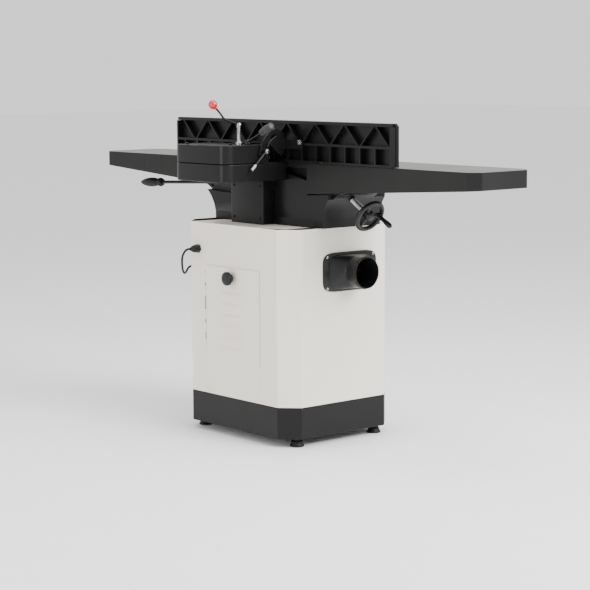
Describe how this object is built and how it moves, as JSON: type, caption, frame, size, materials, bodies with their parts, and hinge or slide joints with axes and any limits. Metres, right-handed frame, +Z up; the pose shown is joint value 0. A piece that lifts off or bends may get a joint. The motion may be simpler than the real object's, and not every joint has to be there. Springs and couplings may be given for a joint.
{
  "type": "woodworking jointer",
  "caption": "Floor-standing woodworking jointer with a steel cabinet, ribbed tilting fence, sliding tables and a belt-driven cutterhead.",
  "frame": {"origin": "on the floor, below the centre of the machine's bounding box", "axes": "+X along the tables towards the outfeed end, +Y towards the operator, +Z up"},
  "size_m": [1.6814, 0.5414, 0.991],
  "materials": {
    "white_paint": "semi-gloss off-white powder coat on sheet steel",
    "black_paint": "satin black enamel over cast iron and steel",
    "grey_paint": "satin dark grey enamel on the motor",
    "guard_paint": "satin red enamel on the cutterhead guard",
    "ground_iron": "surface-ground grey cast iron, painted below",
    "raw_iron": "machined grey cast iron",
    "galvanised": "galvanised sheet steel",
    "steel": "bright machined steel",
    "black_plastic": "moulded black plastic",
    "grey_plastic": "moulded grey plastic grip",
    "rubber": "matt black rubber",
    "red_gloss": "polished red plastic",
    "green_gloss": "polished green plastic"
  },
  "bodies": {
    "stand": {"plinth": "black_paint", "cabinet_infeed_shell": "white_paint", "cabinet_outfeed_shell": "white_paint", "cabinet_rear_panel": "white_paint", "cabinet_front_panel": "white_paint", "cabinet_top_plate": "white_paint", "door_hinge_leaf_1": "white_paint", "door_hinge_leaf_2": "white_paint", "door_hinge_pin": "steel", "levelling_foot_1": "rubber", "levelling_foot_2": "rubber", "levelling_foot_3": "rubber", "levelling_foot_4": "rubber", "dust_port": "black_plastic", "base_casting": "black_paint", "rear_bearing_block": "raw_iron", "front_bearing_block": "raw_iron", "motor": "grey_paint", "motor_mount": "black_paint", "drive_belt": "rubber", "belt_guard": "black_paint", "chip_chute": "galvanised", "fence_support": "black_paint", "switch_box": "black_plastic", "guard_pivot": "steel", "cord_lead": "rubber", "cord_coil": "rubber", "cord_plug": "rubber", "cord_gland": "black_plastic", "cord_clip": "black_plastic"},
    "door": {"access_door": "white_paint"},
    "door_knob": {"door_knob": "black_plastic"},
    "infeed_table": {"infeed_table": "ground_iron"},
    "outfeed_table": {"outfeed_table": "ground_iron"},
    "cutterhead": {"cutterhead": "steel", "cutterhead_pulley": "raw_iron"},
    "motor_rotor": {"motor_pulley": "raw_iron"},
    "fence_carriage": {"fence_carriage": "black_paint", "fence_hinge_pin": "steel", "tilt_clamp_stud": "steel"},
    "fence_lock_lever": {"fence_lock_lever": "black_paint", "fence_lock_ball": "red_gloss"},
    "carriage_handle": {"carriage_handle": "black_paint", "carriage_handle_grip": "grey_plastic"},
    "tilt_lock_lever": {"tilt_lock_lever": "black_paint"},
    "fence": {"fence": "black_paint", "tilt_arm": "black_paint"},
    "infeed_lever": {"infeed_lever": "black_paint", "infeed_lever_grip": "rubber"},
    "handwheel": {"outfeed_handwheel": "black_plastic", "outfeed_screw": "steel"},
    "handwheel_grip": {"handwheel_grip": "black_plastic"},
    "start_button": {"start_button": "green_gloss"},
    "stop_button": {"stop_button": "red_gloss"},
    "cutterhead_guard": {"cutterhead_guard": "guard_paint"}
  },
  "joints": [
    {"name": "infeed_slide", "type": "slide", "parent": "stand", "child": "infeed_table", "axis": [-0.9781, 0, -0.2079], "range_m": [0, 0.06]},
    {"name": "infeed_lever_swing", "type": "hinge", "parent": "stand", "child": "infeed_lever", "pos_m": [-0.28875, 0.06125, 0.731], "axis": [0, 1, 0], "range_deg": [-21, 1]},
    {"name": "outfeed_slide", "type": "slide", "parent": "stand", "child": "outfeed_table", "axis": [0.9781, 0, -0.2079], "range_m": [0, 0.01]},
    {"name": "outfeed_wheel_turn", "type": "hinge", "parent": "stand", "child": "handwheel", "pos_m": [0.33425, 0.06125, 0.664], "axis": [0.866, 0, -0.5], "range_deg": [-1, 362]},
    {"name": "handwheel_grip_spin", "type": "hinge", "parent": "handwheel", "child": "handwheel_grip", "pos_m": [0.33685, 0.09525, 0.6625], "axis": [0.866, 0, -0.5], "continuous": true},
    {"name": "cutterhead_spin", "type": "hinge", "parent": "stand", "child": "cutterhead", "pos_m": [-0.04175, 0.06125, 0.774], "axis": [0, 1, 0], "continuous": true},
    {"name": "motor_spin", "type": "hinge", "parent": "stand", "child": "motor_rotor", "pos_m": [-0.04175, 0.06125, 0.3], "axis": [0, 1, 0], "continuous": true},
    {"name": "fence_slide", "type": "slide", "parent": "stand", "child": "fence_carriage", "axis": [0, 1, 0], "range_m": [0, 0.065]},
    {"name": "fence_tilt", "type": "hinge", "parent": "fence_carriage", "child": "fence", "pos_m": [-0.02675, -0.05675, 0.822], "axis": [1, 0, 0], "range_deg": [0, 45]},
    {"name": "fence_lock_turn", "type": "hinge", "parent": "fence_carriage", "child": "fence_lock_lever", "pos_m": [0.03425, -0.16875, 0.863], "axis": [0, 0, 1], "range_deg": [-40, 40]},
    {"name": "carriage_handle_turn", "type": "hinge", "parent": "fence_carriage", "child": "carriage_handle", "pos_m": [0.04525, -0.14475, 0.863], "axis": [0, 0, 1], "range_deg": [-15, 2]},
    {"name": "tilt_lock_turn", "type": "hinge", "parent": "fence_carriage", "child": "tilt_lock_lever", "pos_m": [0.10225, -0.12875, 0.845], "axis": [1, 0, 0], "range_deg": [-35, 35]},
    {"name": "guard_swing", "type": "hinge", "parent": "stand", "child": "cutterhead_guard", "pos_m": [-0.11675, 0.17925, 0.816], "axis": [0, 0, 1], "range_deg": [-0.5, 33.5]},
    {"name": "door_swing", "type": "hinge", "parent": "stand", "child": "door", "pos_m": [-0.15415, -0.15195, 0.365], "axis": [0, 0, 1], "range_deg": [-105, 0]},
    {"name": "door_knob_turn", "type": "hinge", "parent": "door", "child": "door_knob", "pos_m": [-0.02675, -0.15175, 0.473], "axis": [0, 1, 0], "range_deg": [0, 90]},
    {"name": "start_press", "type": "slide", "parent": "stand", "child": "start_button", "axis": [0, -1, 0], "range_m": [0, 0.003], "stiffness_N_per_m": 300, "springref_m": -0.002},
    {"name": "stop_press", "type": "slide", "parent": "stand", "child": "stop_button", "axis": [0, -1, 0], "range_m": [0, 0.004], "stiffness_N_per_m": 300, "springref_m": -0.002}
  ],
  "couplings": [
    {"joint": "infeed_lever_swing", "follows": "infeed_slide", "rad_per_m": -6},
    {"joint": "outfeed_wheel_turn", "follows": "outfeed_slide", "rad_per_m": 628},
    {"joint": "motor_spin", "follows": "cutterhead_spin", "ratio": 0.556},
    {"joint": "guard_swing", "follows": "fence_slide", "rad_per_m": 8.726}
  ]
}
